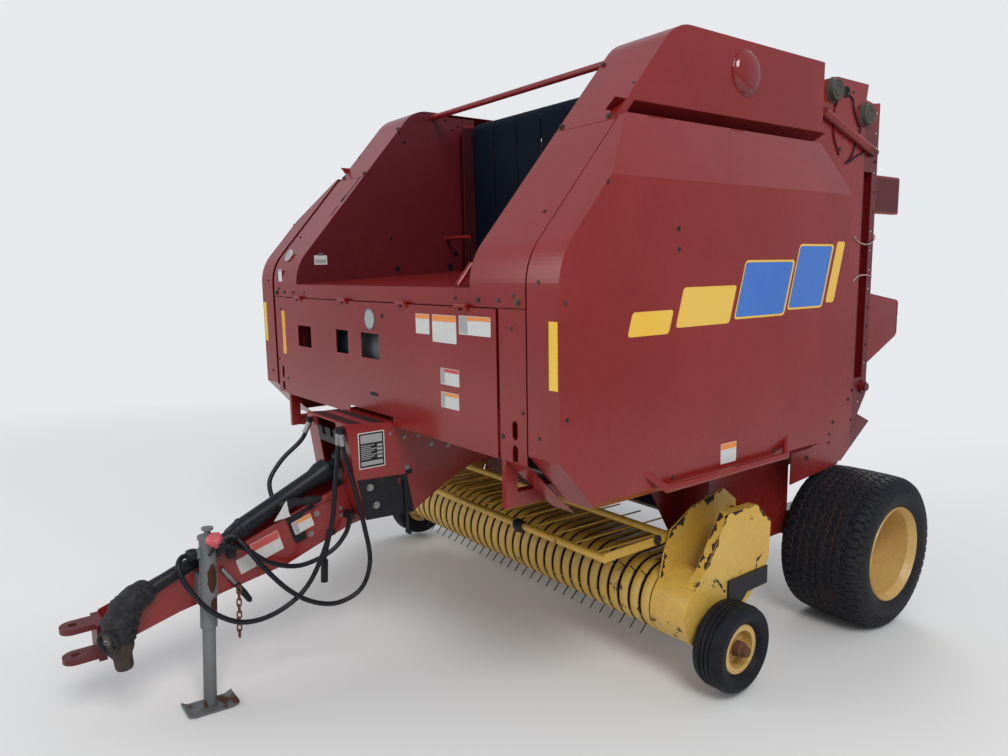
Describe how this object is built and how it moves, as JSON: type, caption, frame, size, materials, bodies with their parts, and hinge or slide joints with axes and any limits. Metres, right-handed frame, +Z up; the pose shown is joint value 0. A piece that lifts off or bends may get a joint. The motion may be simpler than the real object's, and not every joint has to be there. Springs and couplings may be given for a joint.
{
  "type": "round baler",
  "caption": "Towed round baler with a belt bale chamber, opening tailgate, hinged side shields and front door, lifting pickup, wide tyres and a jack under its drawbar.",
  "frame": {"origin": "middle of the length and width, on the ground the baler stands on", "axes": "+Z up, +X to the machine's left, -Y forward to the hitch; the machine leans 3 degrees nose down on its jack"},
  "size_m": [2.966, 4.4166, 3.0153],
  "materials": {
    "maroon_paint": "faded gloss",
    "dark_red_paint": "worn gloss",
    "ochre_paint": "worn gloss",
    "cream_paint": "worn gloss",
    "black_paint": "satin",
    "tyre": "dusty",
    "belt_rubber": "matt",
    "hose_rubber": "satin",
    "galvanised": "weathered",
    "rusty_iron": "rusty",
    "steel": "plain",
    "twine": "wound"
  },
  "bodies": {
    "base": {"main_frame": "maroon_paint", "axle": "dark_red_paint", "drawbar": "maroon_paint", "drawbar_plates": "black_paint", "hitch_clevis": "dark_red_paint", "driveline": "black_paint", "jack_sleeve": "galvanised", "safety_chain": "rusty_iron", "platform": "maroon_paint", "tower_walls": "dark_red_paint", "tower_fronts": "maroon_paint", "tower_rods": "maroon_paint", "caps": "maroon_paint", "front_belts": "belt_rubber", "front_rollers": "steel", "twine_balls": "twine", "hose_front": "hose_rubber", "hose_rear": "hose_rubber", "hose_low": "hose_rubber", "hose_return": "hose_rubber"},
    "jack_leg": {"jack_leg": "galvanised"},
    "front_door": {"front_door": "maroon_paint"},
    "shield_left": {"shield_left": "maroon_paint"},
    "shield_right": {"shield_right": "maroon_paint"},
    "tailgate": {"gate_frame": "maroon_paint", "gate_rollers": "steel", "gate_belts": "belt_rubber", "lamp_brackets": "maroon_paint"},
    "cylinder_barrel_left": {"cyl_barrel_left": "black_paint"},
    "cylinder_rod_left": {"cyl_rod_left": "steel"},
    "cylinder_barrel_right": {"cyl_barrel_right": "black_paint"},
    "cylinder_rod_right": {"cyl_rod_right": "steel"},
    "pickup": {"pickup_frame": "ochre_paint", "pickup_bands": "ochre_paint", "gauge_arms": "black_paint"},
    "reel": {"pickup_reel": "black_paint"},
    "windguard": {"windguard": "ochre_paint"},
    "gauge_wheel_left": {"gauge_tyre_left": "tyre", "gauge_rim_left": "cream_paint"},
    "gauge_wheel_right": {"gauge_tyre_right": "tyre", "gauge_rim_right": "cream_paint"},
    "wheel_left": {"tyre_left": "tyre", "rim_left": "cream_paint"},
    "wheel_right": {"tyre_right": "tyre", "rim_right": "cream_paint"}
  },
  "joints": [
    {"name": "jack_slide", "type": "slide", "parent": "base", "child": "jack_leg", "axis": [0, 0, 1], "range_m": [-0.05, 0.19]},
    {"name": "front_door_hinge", "type": "hinge", "parent": "base", "child": "front_door", "pos_m": [0, -0.87047, 1.75699], "axis": [1, 0, 0], "range_deg": [-95, 0]},
    {"name": "shield_left_hinge", "type": "hinge", "parent": "base", "child": "shield_left", "pos_m": [1.245, -0.89071, 2.4679], "axis": [0, -0.9986, -0.0523], "range_deg": [0, 60]},
    {"name": "shield_right_hinge", "type": "hinge", "parent": "base", "child": "shield_right", "pos_m": [-1.245, -0.89071, 2.4679], "axis": [0, 0.9986, 0.0523], "range_deg": [0, 60]},
    {"name": "tailgate_hinge", "type": "hinge", "parent": "base", "child": "tailgate", "pos_m": [0, 0.79686, 2.74961], "axis": [1, 0, 0], "range_deg": [0, 55]},
    {"name": "pickup_hinge", "type": "hinge", "parent": "base", "child": "pickup", "pos_m": [0, 0.64137, 0.74873], "axis": [1, 0, 0], "range_deg": [-8, 4]},
    {"name": "reel_spin", "type": "hinge", "parent": "pickup", "child": "reel", "pos_m": [0, 0.23553, 0.37197], "axis": [1, 0, 0], "continuous": true},
    {"name": "windguard_hinge", "type": "hinge", "parent": "pickup", "child": "windguard", "pos_m": [0, 0.18898, 0.68697], "axis": [1, 0, 0], "range_deg": [-12, 0]},
    {"name": "gauge_wheel_left_spin", "type": "hinge", "parent": "pickup", "child": "gauge_wheel_left", "pos_m": [1.38, 0.28979, 0.23462], "axis": [1, 0, 0], "continuous": true},
    {"name": "gauge_wheel_right_spin", "type": "hinge", "parent": "pickup", "child": "gauge_wheel_right", "pos_m": [-1.38, 0.28979, 0.23462], "axis": [1, 0, 0], "continuous": true},
    {"name": "wheel_left_spin", "type": "hinge", "parent": "base", "child": "wheel_left", "pos_m": [1.243, 1.6294, 0.43], "axis": [1, 0, 0], "continuous": true},
    {"name": "wheel_right_spin", "type": "hinge", "parent": "base", "child": "wheel_right", "pos_m": [-1.243, 1.6294, 0.43], "axis": [1, 0, 0], "continuous": true},
    {"name": "cylinder_left_swing", "type": "hinge", "parent": "base", "child": "cylinder_barrel_left", "pos_m": [0.965, 0.79351, 1.85821], "axis": [1, 0, 0], "range_deg": [-0.5, 6]},
    {"name": "cylinder_left_slide", "type": "slide", "parent": "cylinder_barrel_left", "child": "cylinder_rod_left", "axis": [0, 0.3998, 0.9166], "range_m": [-0.005, 0.34]},
    {"name": "cylinder_right_swing", "type": "hinge", "parent": "base", "child": "cylinder_barrel_right", "pos_m": [-0.965, 0.79351, 1.85821], "axis": [1, 0, 0], "range_deg": [-0.5, 6]},
    {"name": "cylinder_right_slide", "type": "slide", "parent": "cylinder_barrel_right", "child": "cylinder_rod_right", "axis": [0, 0.3998, 0.9166], "range_m": [-0.005, 0.34]}
  ],
  "couplings": [
    {"joint": "cylinder_left_swing", "follows": "tailgate_hinge", "ratio": 0.0856},
    {"joint": "cylinder_left_slide", "follows": "tailgate_hinge", "m_per_rad": 0.337},
    {"joint": "cylinder_right_swing", "follows": "tailgate_hinge", "ratio": 0.0856},
    {"joint": "cylinder_right_slide", "follows": "tailgate_hinge", "m_per_rad": 0.337}
  ]
}
